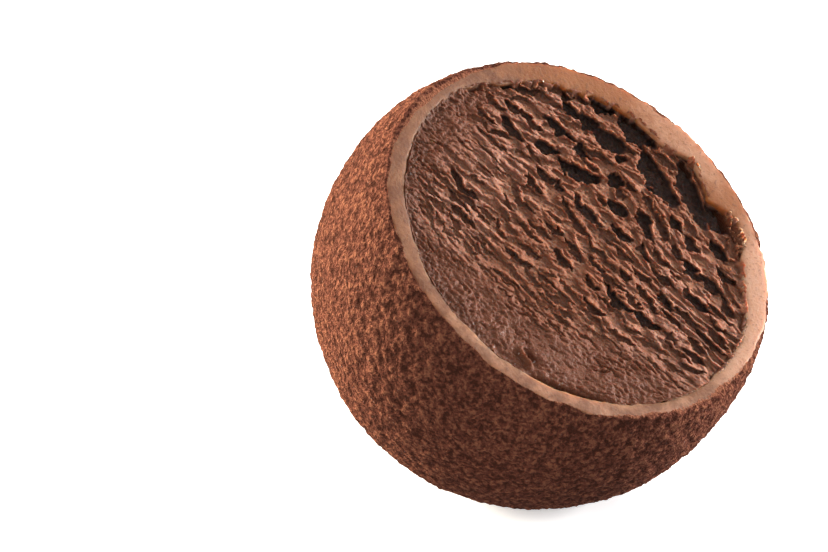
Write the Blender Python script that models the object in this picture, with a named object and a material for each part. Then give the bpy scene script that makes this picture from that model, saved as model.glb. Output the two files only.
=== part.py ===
"""A chocolate mochi, sliced open: a ball of chewy dough dusted with cocoa, filled with chocolate ice cream.

The ball rests on a small flat spot and its cut face leans to the front and right. Both pieces are modelled
about the cut: local +Z points straight out of the cut face, local +X runs along the tears in the ice cream
and local +Y crosses them, towards the far side of the cut. An empty at the ball's centre then leans them
into place. Lengths are in metres, with the origin at the middle of the flat spot.
"""

import math
import random

import bmesh
import bpy
import numpy as np
from mathutils import Matrix, Vector, noise

MM = 0.001

# The ball and its cut
BALL_RADIUS = 22.0 * MM
CUT_HEIGHT = 8.9 * MM  # from the ball's centre to the cut face
FLAT_RADIUS = 5.0 * MM  # the spot that the ball rests on
CUT_TILT = math.radians(48.6)  # the cut face's lean from level
CUT_HEADING = math.radians(-54.7)  # the way it leans, from +X
TEAR_TURN = math.radians(33.4)  # turns the tears within the cut face

# The dough
DOUGH_THICKNESS = 1.5 * MM
RIM_ROUNDING = 0.45 * MM  # how far the rim's soft edge stands above its sides
RIM_FULLNESS = 0.6  # 1 for a half-round edge and less for a flatter one
DOUGH_FACETS = 110  # round the ball
OUTSIDE_STEPS = 44
RIM_STEPS = 8
INSIDE_STEPS = 14
DOUGH_KEPT = 0.285  # share of the triangles left once the flatter ones are merged
COCOA_ROUGHNESS = 0.95
LUMP_SIZE = 8.0 * MM  # broad unevenness of the hand-shaped ball
LUMP_DEPTH = 0.16 * MM
CLUMP_SIZE = 1.9 * MM  # clumps of cocoa
CLUMP_DEPTH = 0.17 * MM

# The ice cream
GAP = 0.3 * MM  # clearance between the ice cream and the dough
FACE_CELLS = 130  # squares across the cut face
BOWL_FACETS = 48
BOWL_STEPS = 12
BOWL_DROP = 0.6 * MM  # from the face's lowest border down to the bowl's edge
ICE_CREAM_KEPT = 0.265  # share of the triangles left once the flatter ones are merged
ICE_CREAM_ROUGHNESS = 0.6
NEAR_RECESS = 0.15 * MM  # how far the face lies under the rim, at the near and the far side
FAR_RECESS = 1.0 * MM
RECESS_SPAN = (-0.2, 0.9)  # where across the face it grows, in shares of the face's radius
BORDER = 0.9 * MM  # where the tears fade out against the dough

# Where the knife smeared the filling smooth, at the near and left edges, in shares of the face's radius
SMEAR_EDGE = -0.72  # its far edge, across the face
SMEAR_RISE = 0.3  # how much farther it reaches at the right
SMEAR_RISE_SPAN = (0.1, 0.75)  # where along the face it rises
SMEAR_FADE = 0.35
SMEAR_LEFT = (-0.93, -0.72)  # the strip along the left edge

# The tears that open all over the face: rows of torn scales, each deep under the lip along its far side
TEAR_SEED = 5
NEAR_ROW_GAP = 0.85 * MM
FAR_ROW_GAP = 1.47 * MM
ROW_GAP_SPAN = (-0.8, 0.6)  # where across the face the gap grows, in shares of its radius
ROW_STARTS = (-0.84, 0.97)  # the first and the last row, in shares of the face's radius
ROW_REACH = 0.95  # how far towards the dough the rows go
ROW_BEND = 0.5  # rows follow the round edge above and below the middle
MIDDLE_BEND = 0.06
FIRST_SHIFTS = 2.5 * MM  # how far in a row may start
TEAR_SHIFTS = 0.28  # of the gap, to either side of the row
TEAR_SPACINGS = (0.78, 1.1)  # from one tear to the next, in lengths
TEAR_TURNS = (-16, 14)  # degrees from the row's direction
TEAR_LENGTHS = (2.0 * MM, 4.4 * MM)
TEAR_WIDTHS = (0.6, 0.95)  # share of the gap between the rows
TEAR_DEPTHS = (0.75, 1.05)  # share of the width
TEAR_BOWS = (0, 0.3)  # share of the gap
SMEARED_KEPT = 0.35  # share of the tears left where the filling is smeared
SMEARED_WIDTH = 0.4  # and of their width
FAR_WALL = 0.18  # share of a tear's width that its steep far wall takes
NEAR_WALL = (0.38, 1.12)  # and where its gentler near wall starts and ends
LIP_HEIGHT = 0.34 * MM
LIP_FALL = (0.15 * MM, 0.45)  # how far past a tear its lip reaches: at least, and more by its depth
DEEP_TEAR = 1.2 * MM  # from this depth on, a tear has a full lip
RAGGED_SIZE = 1.2 * MM
RAGGED_SHIFT = 0.42 * MM

# The largest tears, in millimetres and degrees: place along and across the face, length, width, turn,
# bow and depth
LARGE_TEARS = (
    (3.3, 12.7, 8.4, 2.6, -35, 0.9, 2.8),
    (5.9, 14.6, 7.8, 2.4, -40, 0.3, 2.6),
    (10.0, 14.4, 3.1, 2.3, -35, 0.2, 2.3),
    (-3.7, 15.6, 8.2, 1.7, -3, 0.5, 1.9),
    (-2.9, 12.2, 5.9, 1.5, 12, 0.2, 1.7),
    (-7.3, 12.7, 5.5, 1.0, -8, 0.3, 1.2),
    (-11.3, 11.7, 4.2, 0.8, 38, 0.1, 0.9),
    (11.6, 10.4, 3.3, 1.9, -5, 0.3, 1.9),
    (-7.9, 9.2, 4.4, 1.25, 10, 0.2, 1.3),
    (-0.1, 8.7, 1.9, 1.7, 0, 0.3, 1.9),
    (9.0, 9.1, 3.9, 1.2, -22, 0.2, 1.4),
    (-3.7, 7.0, 5.3, 1.7, 26, 0.2, 2.0),
    (6.3, 7.7, 2.8, 1.1, -30, 0.2, 1.2),
    (-11.0, 7.4, 4.0, 0.9, -5, 0.2, 1.0),
    (4.3, 6.6, 3.2, 1.4, -35, 0.3, 1.4),
    (-7.3, 6.1, 2.6, 1.4, 12, 0.2, 1.6),
    (1.5, 5.9, 3.4, 1.3, 10, 0.2, 1.4),
    (9.9, 6.1, 4.8, 1.2, -14, 0.2, 1.4),
    (14.1, 5.3, 4.4, 1.2, -25, 0.2, 1.4),
    (-10.6, 5.0, 4.0, 1.2, -8, 0.2, 1.5),
    (2.9, 3.9, 3.2, 1.0, 0, 0.2, 1.2),
    (-0.5, 3.1, 4.3, 1.3, -12, 0.1, 1.4),
    (11.9, 3.0, 3.1, 1.0, -20, 0.2, 1.1),
    (-1.8, 1.7, 5.9, 0.95, -32, 0.1, 1.1),
    (10.3, 0.6, 3.4, 1.1, -25, 0.2, 1.2),
    (6.6, -3.1, 4.0, 1.2, -14, 0.2, 1.2),
    (10.3, -3.2, 3.8, 1.0, 8, 0.2, 1.1),
    (-11.5, -4.6, 3.6, 0.9, -18, 0.2, 0.9),
    (-9.5, -7.8, 4.0, 1.0, -5, 0.3, 1.0),
)

COCOA_BROWN = (0.153, 0.054, 0.028, 1.0)
CHOCOLATE_BROWN = (0.173, 0.072, 0.041, 1.0)

BASE_DEPTH = math.sqrt(BALL_RADIUS**2 - FLAT_RADIUS**2)  # from the ball's centre down to its flat spot
CAVITY_RADIUS = BALL_RADIUS - DOUGH_THICKNESS
FILLING_RADIUS = CAVITY_RADIUS - GAP
FACE_RADIUS = math.sqrt(FILLING_RADIUS**2 - CUT_HEIGHT**2)

LEAN = (
    Matrix.Rotation(CUT_HEADING, 3, "Z")
    @ Matrix.Rotation(CUT_TILT, 3, "Y")
    @ Matrix.Rotation(TEAR_TURN, 3, "Z")
)
DOWN = LEAN.transposed() @ Vector((0, 0, -1))  # the floor's direction, in the pieces' own frame


def clear_scene():
    for obj in list(bpy.data.objects):
        bpy.data.objects.remove(obj)


def material(name, colour, roughness):
    made = bpy.data.materials.new(name)
    made.use_nodes = True
    shader = made.node_tree.nodes["Principled BSDF"]
    shader.inputs["Base Color"].default_value = colour
    shader.inputs["Roughness"].default_value = roughness
    shader.inputs["Metallic"].default_value = 0.0
    made.diffuse_color = colour
    return made


def smooth(low, high, value):
    """0 up to low and 1 from high on, with an S-curve between them."""
    share = np.clip((value - low) / (high - low), 0, 1)
    return share * share * (3 - 2 * share)


def uneven(x, y, size, layer):
    """Smooth noise over the face, about -0.5 to 0.5; each layer has its own pattern."""
    return np.array([noise.noise(Vector((a / size, b / size, layer))) for a, b in zip(x, y)])


def add_piece(name, bm, surface, centre):
    bmesh.ops.recalc_face_normals(bm, faces=bm.faces)
    mesh = bpy.data.meshes.new(name)
    bm.to_mesh(mesh)
    bm.free()
    mesh.materials.append(surface)
    mesh.shade_smooth()
    mesh.set_sharp_from_angle(angle=math.radians(40))
    obj = bpy.data.objects.new(name, mesh)
    obj.parent = centre
    bpy.context.scene.collection.objects.link(obj)
    return obj


def thin_out(bm, kept):
    """Merges the flatter triangles until only the kept share of them is left."""
    bmesh.ops.triangulate(bm, faces=bm.faces)
    mesh = bpy.data.meshes.new("full")
    bm.to_mesh(mesh)
    holder = bpy.data.objects.new("full", mesh)
    bpy.context.scene.collection.objects.link(holder)
    thin = holder.modifiers.new("Thin", "DECIMATE")
    thin.ratio = kept
    bm.clear()
    bm.from_object(holder, bpy.context.evaluated_depsgraph_get())
    bpy.data.objects.remove(holder)
    bpy.data.meshes.remove(mesh)


def spin_outline(bm, points, facets):
    """Spins an outline that starts on the axis into a closed or open round skin."""
    verts = [bm.verts.new(point) for point in points]
    edges = [bm.edges.new(pair) for pair in zip(verts, verts[1:])]
    bmesh.ops.spin(
        bm,
        geom=verts + edges,
        cent=(0, 0, 0),
        axis=(0, 0, 1),
        angle=2 * math.pi,
        steps=facets,
        use_merge=True,
    )
    on_axis = [vert for vert in bm.verts if vert.co.z < 0 and math.hypot(vert.co.x, vert.co.y) < 0.01 * MM]
    bmesh.ops.remove_doubles(bm, verts=on_axis, dist=0.01 * MM)


def arc_points(radius, height, steps):
    """Points on a sphere's half outline, from the pole under the cut up to the given height."""
    end = math.acos(-height / radius)
    angles = [end * k / steps for k in range(steps + 1)]
    return [Vector((radius * math.sin(angle), 0, -radius * math.cos(angle))) for angle in angles]


def flatten_base(verts, depth):
    """Presses what reaches below the given depth up to a level floor."""
    for vert in verts:
        excess = vert.co.dot(DOWN) - depth
        if excess > 0:
            vert.co -= DOWN * excess


# ---- dough ----


def dough_outline():
    """The dough's half section: up the outside, over the soft rim and down the inside."""
    shoulder = CUT_HEIGHT - RIM_ROUNDING
    outside = arc_points(BALL_RADIUS, shoulder, OUTSIDE_STEPS)
    inside = arc_points(CAVITY_RADIUS, shoulder, INSIDE_STEPS)
    middle = (outside[-1].x + inside[-1].x) / 2
    half_width = (outside[-1].x - inside[-1].x) / 2
    rim = []
    for k in range(1, RIM_STEPS):
        turn = math.pi * k / RIM_STEPS
        height = shoulder + RIM_ROUNDING * math.sin(turn) ** RIM_FULLNESS
        rim.append(Vector((middle + half_width * math.cos(turn), 0, height)))
    return outside + rim + inside[::-1]


def cocoa_relief(point):
    """How far the dusted surface stands proud of the ball."""
    lumps = LUMP_DEPTH * noise.noise(point / LUMP_SIZE)
    clumps = CLUMP_DEPTH * noise.noise(point / CLUMP_SIZE)
    return lumps + clumps


def build_dough(centre):
    bm = bmesh.new()
    spin_outline(bm, dough_outline(), DOUGH_FACETS)
    halfway = (BALL_RADIUS + CAVITY_RADIUS) / 2
    inner = [vert for vert in bm.verts if vert.co.length < halfway and vert.co.z < CUT_HEIGHT - RIM_ROUNDING]
    flatten_base(inner, BASE_DEPTH - DOUGH_THICKNESS)
    for vert in bm.verts:
        share = smooth(halfway, BALL_RADIUS, vert.co.length)
        vert.co += vert.co.normalized() * float(share) * cocoa_relief(vert.co)
    thin_out(bm, DOUGH_KEPT)

    cut = bmesh.ops.bisect_plane(
        bm,
        geom=bm.verts[:] + bm.edges[:] + bm.faces[:],
        plane_co=DOWN * BASE_DEPTH,
        plane_no=DOWN,
        clear_outer=True,
    )
    edge_loop = [item for item in cut["geom_cut"] if isinstance(item, bmesh.types.BMEdge)]
    bmesh.ops.contextual_create(bm, geom=edge_loop)
    add_piece("mochi_dough", bm, material("cocoa_dusted_dough", COCOA_BROWN, COCOA_ROUGHNESS), centre)


# ---- ice cream ----


def torn_share(x, y):
    """0 where the filling is smeared smooth and 1 where it is torn."""
    along, across = x / FACE_RADIUS, y / FACE_RADIUS
    smear = SMEAR_EDGE + SMEAR_RISE * smooth(*SMEAR_RISE_SPAN, along)
    return smooth(smear, smear + SMEAR_FADE, across) * smooth(*SMEAR_LEFT, along)


def row_height(x, start):
    """Where the row of tears that crosses the middle of the face at start has got to at x."""
    bend = (ROW_BEND * start / FACE_RADIUS + MIDDLE_BEND) / FACE_RADIUS
    return start - bend * x * x


def covers(tear, x, y, length, width):
    """Whether a large tear leaves no room for a small one at this place."""
    span = tear[2] / 2 + 0.3 * length
    reach = tear[3] / 2 + 0.75 * width
    return math.hypot((x - tear[0]) / span, (y - tear[1] + tear[3] / 2) / reach) < 1


def all_tears():
    """The large tears and rows of small ones between them, in metres."""
    draw = random.Random(TEAR_SEED)
    large = [tuple(value if k == 4 else value * MM for k, value in enumerate(tear)) for tear in LARGE_TEARS]
    small = []
    start, last = (share * FACE_RADIUS for share in ROW_STARTS)
    while start < last:
        wider = float(smooth(*ROW_GAP_SPAN, start / FACE_RADIUS))
        gap = NEAR_ROW_GAP + (FAR_ROW_GAP - NEAR_ROW_GAP) * wider
        left = -ROW_REACH * FACE_RADIUS + draw.uniform(0, FIRST_SHIFTS)
        while left < ROW_REACH * FACE_RADIUS:
            length = draw.uniform(*TEAR_LENGTHS) * (3 + gap / FAR_ROW_GAP) / 4
            x = left + length / 2
            y = row_height(x, start) + draw.uniform(-TEAR_SHIFTS, TEAR_SHIFTS) * gap
            left += length * draw.uniform(*TEAR_SPACINGS)
            torn = float(torn_share(x, y))
            rise = row_height(x + MM / 2, start) - row_height(x - MM / 2, start)
            turn = math.degrees(math.atan(rise / MM)) + draw.uniform(*TEAR_TURNS)
            width = gap * draw.uniform(*TEAR_WIDTHS) * (SMEARED_WIDTH + (1 - SMEARED_WIDTH) * torn)
            depth = width * draw.uniform(*TEAR_DEPTHS)
            bow = gap * draw.uniform(*TEAR_BOWS)
            kept = draw.random() < SMEARED_KEPT + (1 - SMEARED_KEPT) * torn
            on_face = math.hypot(x, y) < ROW_REACH * FACE_RADIUS
            if kept and on_face and not any(covers(tear, x, y, length, width) for tear in large):
                small.append((x, y, length, width, turn, bow, depth))
        start += gap
    return large + small


def face_heights(x, y):
    """Heights of the torn face over the cut plane, and how much of a lip there is at each point."""
    ragged_x = x + RAGGED_SHIFT * uneven(x, y, RAGGED_SIZE, 3.7)
    ragged_y = y + RAGGED_SHIFT * uneven(x, y, RAGGED_SIZE, 9.1)
    deepest = np.zeros_like(x)
    lips = np.zeros_like(x)
    for at_x, at_y, length, width, turn, bow, depth in all_tears():
        cos, sin = math.cos(math.radians(turn)), math.sin(math.radians(turn))
        dx, dy = ragged_x - at_x, ragged_y - at_y
        along = (dx * cos + dy * sin) / (length / 2)
        room = np.clip(1 - along * along, 0, 1)  # 1 at the middle of the tear and 0 at its ends
        beyond = dy * cos - dx * sin - width / 2 - bow * (2 * room - 1)  # past the far side of the tear
        taper = np.sqrt(room)
        into = -beyond / (width * np.maximum(taper, 0.05))
        hollow = smooth(0, FAR_WALL, into) * (1 - smooth(*NEAR_WALL, into)) * np.minimum(1, 1.6 * taper)
        deepest = np.maximum(deepest, np.where(room > 0, depth * hollow, 0))
        fall = LIP_FALL[0] + LIP_FALL[1] * min(1.6 * MM, depth)
        lip = LIP_HEIGHT * min(1, depth / DEEP_TEAR) * np.exp(-((np.maximum(beyond, 0) / fall) ** 2))
        lips = np.maximum(lips, lip * smooth(-0.12 * MM, 0.05 * MM, beyond) * taper)
    share = np.hypot(x, y) / FACE_RADIUS
    border = smooth(0, BORDER, (1 - share) * FACE_RADIUS)
    recess = NEAR_RECESS + (FAR_RECESS - NEAR_RECESS) * smooth(*RECESS_SPAN, y / FACE_RADIUS)
    return border * (lips * (1 - smooth(0, 0.25 * MM, deepest)) - deepest) - recess


def build_ice_cream(centre):
    bm = bmesh.new()
    bmesh.ops.create_grid(bm, x_segments=FACE_CELLS, y_segments=FACE_CELLS, size=1)
    square = np.array([vert.co for vert in bm.verts])
    x = FACE_RADIUS * square[:, 0] * np.sqrt(1 - square[:, 1] ** 2 / 2)  # rounds the square into a disc
    y = FACE_RADIUS * square[:, 1] * np.sqrt(1 - square[:, 0] ** 2 / 2)
    z = CUT_HEIGHT + face_heights(x, y)
    for vert, *place in zip(bm.verts, x, y, z):
        vert.co = place
    face_border = [edge for edge in bm.edges if edge.is_boundary]
    for vert in {vert for edge in face_border for vert in edge.verts}:
        scale = math.sqrt(FILLING_RADIUS**2 - vert.co.z**2) / FACE_RADIUS
        vert.co.x *= scale
        vert.co.y *= scale

    lowest_border = CUT_HEIGHT - FAR_RECESS - BOWL_DROP
    spin_outline(bm, arc_points(FILLING_RADIUS, lowest_border, BOWL_STEPS), BOWL_FACETS)
    bowl = [vert for vert in bm.verts if vert.co.z <= lowest_border]
    flatten_base(bowl, BASE_DEPTH - DOUGH_THICKNESS - GAP)
    bmesh.ops.bridge_loops(bm, edges=[edge for edge in bm.edges if edge.is_boundary])
    thin_out(bm, ICE_CREAM_KEPT)
    surface = material("chocolate_ice_cream", CHOCOLATE_BROWN, ICE_CREAM_ROUGHNESS)
    add_piece("ice_cream", bm, surface, centre)


def main():
    clear_scene()
    centre = bpy.data.objects.new("ball_centre", None)
    centre.location = (0, 0, BASE_DEPTH)
    centre.rotation_euler = LEAN.to_euler()
    bpy.context.scene.collection.objects.link(centre)
    build_dough(centre)
    build_ice_cream(centre)


main()
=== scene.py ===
import math
import random

import bmesh
import bpy
import numpy as np
from mathutils import Matrix, Vector, noise


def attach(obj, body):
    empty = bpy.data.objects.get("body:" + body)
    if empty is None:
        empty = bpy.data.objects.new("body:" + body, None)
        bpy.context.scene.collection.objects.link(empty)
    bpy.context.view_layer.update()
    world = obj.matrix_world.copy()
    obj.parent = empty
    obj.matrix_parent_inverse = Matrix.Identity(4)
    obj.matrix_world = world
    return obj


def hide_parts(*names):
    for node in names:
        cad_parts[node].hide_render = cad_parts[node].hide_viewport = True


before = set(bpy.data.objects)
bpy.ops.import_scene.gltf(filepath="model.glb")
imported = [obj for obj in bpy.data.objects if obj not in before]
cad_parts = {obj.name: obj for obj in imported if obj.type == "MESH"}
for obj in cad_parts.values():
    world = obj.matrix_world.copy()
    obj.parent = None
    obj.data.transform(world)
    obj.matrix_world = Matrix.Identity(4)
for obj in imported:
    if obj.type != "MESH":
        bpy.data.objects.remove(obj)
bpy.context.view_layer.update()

mm = 0.001

# sizes are in millimetres, about the ball's centre, with the cut face looking along +Z
# and the tears running along X; leanInPlace turns and moves a piece to where the frame has it
ball = {
    "radius": 22.0,
    "cutHeight": 8.9,
    "flatRadius": 5.0,
    "cutTilt": 48.6,
    "cutHeading": -54.7,
    "tearTurn": 33.4,
    "doughThickness": 1.5,
    "rimRounding": 0.45,
}
baseDepth = math.sqrt(ball["radius"] ** 2 - ball["flatRadius"] ** 2)
cavityRadius = ball["radius"] - ball["doughThickness"]
lean = (
    Matrix.Rotation(math.radians(ball["cutHeading"]), 4, "Z")
    @ Matrix.Rotation(math.radians(ball["cutTilt"]), 4, "Y")
    @ Matrix.Rotation(math.radians(ball["tearTurn"]), 4, "Z")
)
leanInPlace = Matrix.Translation((0, 0, baseDepth * mm)) @ lean @ Matrix.Scale(mm, 4)
down = lean.to_3x3().transposed() @ Vector((0, 0, -1))


def smooth(low, high, value):
    share = np.clip((value - low) / (high - low), 0, 1)
    return share * share * (3 - 2 * share)


def uneven(x, y, sizeX, sizeY, layer):  # smooth noise over the face, about -0.5 to 0.5
    return np.array([noise.noise(Vector((a / sizeX, b / sizeY, layer))) for a, b in zip(x, y)])


def flattenBase(verts, depth):
    for vert in verts:
        excess = vert.co.dot(down) - depth
        if excess > 0:
            vert.co -= down * excess


def spinBowl(bm, radius, height, steps, facets):  # a round bowl that is open at that height
    end = math.acos(-height / radius)
    turns = [end * k / steps for k in range(steps + 1)]
    arc = [bm.verts.new((radius * math.sin(turn), 0, -radius * math.cos(turn))) for turn in turns]
    edges = [bm.edges.new(pair) for pair in zip(arc, arc[1:])]
    bmesh.ops.spin(
        bm, geom=arc + edges, cent=(0, 0, 0), axis=(0, 0, 1), angle=2 * math.pi,
        steps=facets, use_merge=True,
    )
    below = [vert for vert in bm.verts if vert.co.z < -radius * 0.99]
    pole = [vert for vert in below if vert.co.length < radius + 0.2]
    bmesh.ops.remove_doubles(bm, verts=pole, dist=0.01)


def openLoops(bm):
    return [edge for edge in bm.edges if edge.is_boundary]


def addPiece(name, bm, material, node):
    bmesh.ops.recalc_face_normals(bm, faces=bm.faces)
    bm.transform(leanInPlace)
    mesh = bpy.data.meshes.new(name)
    bm.to_mesh(mesh)
    bm.free()
    mesh.materials.append(material)
    mesh.shade_smooth()
    piece = bpy.data.objects.new(name, mesh)
    bpy.context.scene.collection.objects.link(piece)
    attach(piece, "root")
    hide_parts(node)
    print(name, len(mesh.polygons), "faces")


class Value:  # a socket that takes part in sums
    def __init__(self, socket):
        self.socket = socket

    def combine(self, operation, other, swapped=False):
        tree = self.socket.id_data
        node = tree.nodes.new("ShaderNodeMath")
        node.operation = operation
        for slot, item in zip(node.inputs, (other, self) if swapped else (self, other)):
            if isinstance(item, Value):
                tree.links.new(item.socket, slot)
            else:
                slot.default_value = item
        return Value(node.outputs[0])

    def __add__(self, other):
        return self.combine("ADD", other)

    def __sub__(self, other):
        return self.combine("SUBTRACT", other)

    def __rsub__(self, other):
        return self.combine("SUBTRACT", other, swapped=True)

    def __mul__(self, other):
        return self.combine("MULTIPLY", other)

    __radd__ = __add__
    __rmul__ = __mul__


class Finish:  # a material under construction
    def __init__(self, name):
        self.material = bpy.data.materials.new(name)
        self.material.use_nodes = True
        self.tree = self.material.node_tree
        self.tree.nodes.clear()
        self.place = self.node("TexCoord", {}, {}, "Object")

    def node(self, kind, settings, sockets, output=0):
        node = self.tree.nodes.new("ShaderNode" + kind)
        for key, value in settings.items():
            setattr(node, key, value)
        for key, value in sockets.items():
            if isinstance(value, Value):
                self.tree.links.new(value.socket, node.inputs[key])
            else:
                node.inputs[key].default_value = value
        return Value(node.outputs[output]) if node.outputs else None

    def noise(self, size, detail, roughness):
        scale = 1 / (size * mm)
        values = {"Vector": self.place, "Scale": scale, "Detail": detail, "Roughness": roughness}
        return self.node("TexNoise", {}, values)

    def mix(self, share, first, second):
        return self.node("Mix", {"data_type": "RGBA"}, {0: share, 6: first, 7: second}, 2)

    def between(self, value, low, high, start=0.0, end=1.0):
        values = {"Value": value, "From Min": low, "From Max": high, "To Min": start, "To Max": end}
        return self.node("MapRange", {"interpolation_type": "SMOOTHSTEP"}, values)

    def attribute(self, name):
        return self.node("Attribute", {"attribute_name": name}, {}, "Fac")

    def bump(self, height, distance, strength):
        values = {"Height": height, "Distance": distance * mm, "Strength": strength}
        return self.node("Bump", {}, values)

    def shader(self, values):
        return self.node("BsdfPrincipled", {}, values)

    def done(self, shader):
        self.node("OutputMaterial", {}, {"Surface": shader})
        return self.material


# dough: a cocoa-dusted ball with a bare rim where it is cut

dough = {
    "colours": {
        # dark cocoa, also used as the painted shade in the pits between the grains
        "cocoaDarkAndPitShade": (0.110, 0.033, 0.019, 1),
        "cocoa": (0.232, 0.071, 0.043, 1),
        "cocoaLight": (0.445, 0.163, 0.087, 1),
        "bare": (0.130, 0.045, 0.0145, 1),
        "bareLight": (0.205, 0.083, 0.032, 1),
        "bareTan": (0.215, 0.070, 0.0155, 1),
        "barePaleAndLit": (0.395, 0.205, 0.120, 1),
        "bareSpot": (0.090, 0.030, 0.013, 1),
        "cocoaSheen": (1.0, 0.62, 0.42, 1),
    },
    "coatGrain": (0.58, 4.0, 0.7),  # size, detail and roughness of each pattern
    "coatSpecks": (0.32, 2.0, 0.6),
    "coatPatches": (3.0, 3.0, 0.6),
    "coatRoughness": 0.95,
    "coatRelief": 4.4,  # how deep the finest grain of the cocoa looks
    "coatRagged": 1.1,  # where the cocoa ends on the rim
    "bareMottle": (1.6, 4.0, 0.6),
    "bareStreaks": (0.35, 3.0, 0.6),
    "bareRoughness": 0.6,
    "bareRelief": 0.15,
    "glowDepth": 2.0,  # how far light spreads in the bare dough
    "cuts": 136,  # squares along each side of the cube that is blown up into the ball
    "lumpSize": 8.0,
    "lumpDepth": 0.12,
    "clumpSize": 1.4,
    "clumpDepth": 0.14,
    "grainSize": 0.7,
    "grainDepth": 0.27,
    "fineSize": 0.35,
    "fineDepth": 0.05,
    "farWidening": 1.25,  # how much wider the rim is at the far side
    "leftWidening": 0.3,
    "folds": (  # of the rim's inner edge: angle, spread and how far in
        (77, 5.5, -0.8),
        (62.5, 3.5, 1.1),
        (52, 11, -1.1),
        (31, 9, 0.5),
        (88, 6, 0.4),
        (146, 9, 0.35),
    ),
    "rimSteps": 18,
    "wallSteps": 10,
    "wallDrop": 3.2,
    "rimWaves": ((0.16, 3, 0), (0.14, 0.8, 1), (0.1, 0.4, 1)),  # depth, length, 1 if ragged
    "raggedFar": 1.2,
    "rimRise": 0.10,  # of its top, along the rim
    "dustedEdge": 0.35,  # how far the cocoa reaches in over the rim
    "dustedFar": 0.16,  # and how much further it does at the far side and at the left
    "dustedLeft": 0.55,
    "dustedRagged": 0.3,
    "dustedFade": 0.12,
    "thinReach": 0.85,  # of the thin dusting at the near right
    "thinFade": 0.7,
    "paleAndLitParts": ((0.35, 0.7, 1.0), (1.45, 0.88, 0.6), (-1.1, 0.2, 0.48)),  # heading, start, share
    "flares": ((0.5, 0.3, 0.5), (-2.6, 0.5, 0.2), (2.5, 0.7, -0.3)),  # heading, start, how far out
    "innerFacets": 64,
    "innerSteps": 12,
}
shoulder = ball["cutHeight"] - ball["rimRounding"]  # where the skin turns over onto the rim
outerEdge = math.sqrt(ball["radius"] ** 2 - shoulder**2)
innerEdge = math.sqrt(cavityRadius**2 - shoulder**2)


def makeDoughFinish():
    look = dough["colours"]
    finish = Finish("cocoaDustedDough")
    grain = finish.noise(*dough["coatGrain"])
    specks = finish.noise(*dough["coatSpecks"])
    patches = finish.noise(*dough["coatPatches"])
    # the coat's tone follows the grain and specks, and is painted darker in the pits between the
    # grains: painted shade
    pits = finish.attribute("pit")
    height = grain * 0.8 + specks * 0.7
    tone = height + (patches - 0.5) * 0.12 - (pits - 0.45) * 0.32
    colour = finish.mix(finish.between(tone, 0.62, 0.72), look["cocoaDarkAndPitShade"], look["cocoa"])
    colour = finish.mix(finish.between(tone, 0.74, 0.88), colour, look["cocoaLight"])
    coatBump = finish.bump(height, dough["coatRelief"], 1.0)
    coat = finish.shader({
        "Base Color": colour,
        "Roughness": dough["coatRoughness"],
        "Specular IOR Level": 0.02,
        "Sheen Weight": 0.03,
        "Sheen Roughness": 0.5,
        "Sheen Tint": look["cocoaSheen"],
        "Normal": coatBump,
    })
    mottle = finish.noise(*dough["bareMottle"])
    streaks = finish.noise(*dough["bareStreaks"])
    colour = finish.mix(finish.between(mottle, 0.35, 0.7), look["bare"], look["bareLight"])
    tan = finish.attribute("tan") + (mottle - 0.5) * 0.8
    colour = finish.mix(finish.between(tan, 0.2, 1.0), colour, look["bareTan"])
    # the bare rim is painted paler towards the right as painted light, and paler at the far and
    # near side as well
    pale = finish.attribute("pale") + (mottle - 0.5) * 0.8
    colour = finish.mix(finish.between(pale, 0.2, 1.0), colour, look["barePaleAndLit"])
    colour = finish.mix(finish.between(streaks, 0.54, 0.7) * 0.5, colour, look["bareSpot"])
    bareBump = finish.bump(streaks * 0.6 + mottle * 0.4, dough["bareRelief"], 0.8)
    bare = finish.shader({
        "Base Color": colour,
        "Roughness": dough["bareRoughness"],
        "Specular IOR Level": 0.2,
        "Subsurface Weight": 0.8,
        "Subsurface Radius": (1.0, 0.55, 0.32),
        "Subsurface Scale": dough["glowDepth"] * mm,
        "Normal": bareBump,
    })
    ragged = dough["coatRagged"]
    cover = finish.attribute("cocoa") + (grain - 0.5) * ragged + (specks - 0.5) * ragged
    covered = finish.between(cover, 0.42, 0.58)
    return finish.done(finish.node("MixShader", {}, {0: covered, 1: bare, 2: coat}))


def rimShift(angle, height):  # how far the inside wall stands in from the cavity's sphere
    far = dough["farWidening"] * smooth(0.1, 1.0, np.sin(angle - 0.15))
    left = dough["leftWidening"] * smooth(0.2, 0.9, -np.cos(angle))
    folds = 0
    for at, spread, deep in dough["folds"]:
        folds = folds + deep * np.exp(-(((np.degrees(angle) - at) / spread) ** 2))
    return (np.maximum(far, left) + folds) * smooth(2.6, 0.6, ball["cutHeight"] - height)


def alongRim(angle, size, layer=0):  # smooth noise round the rim, about -0.5 to 0.5
    around = Vector((math.cos(angle), math.sin(angle), 0)) * 9
    return noise.noise(around / size + Vector((0, 0, layer)))


def rimRings():  # radius and height of each ring over the rim and down the inside wall
    middle = (outerEdge + innerEdge) / 2
    halfWidth = (outerEdge - innerEdge) / 2
    rings = []
    for k in range(1, dough["rimSteps"] + 1):
        turn = math.pi * k / dough["rimSteps"]
        rise = ball["rimRounding"] * math.sin(turn) ** 0.35 if k < dough["rimSteps"] else 0
        rings.append((middle + halfWidth * math.cos(turn), shoulder + rise))
    for k in range(1, dough["wallSteps"] + 1):
        height = shoulder - dough["wallDrop"] * k / dough["wallSteps"]
        rings.append((math.sqrt(cavityRadius**2 - height**2), height))
    return rings


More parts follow.
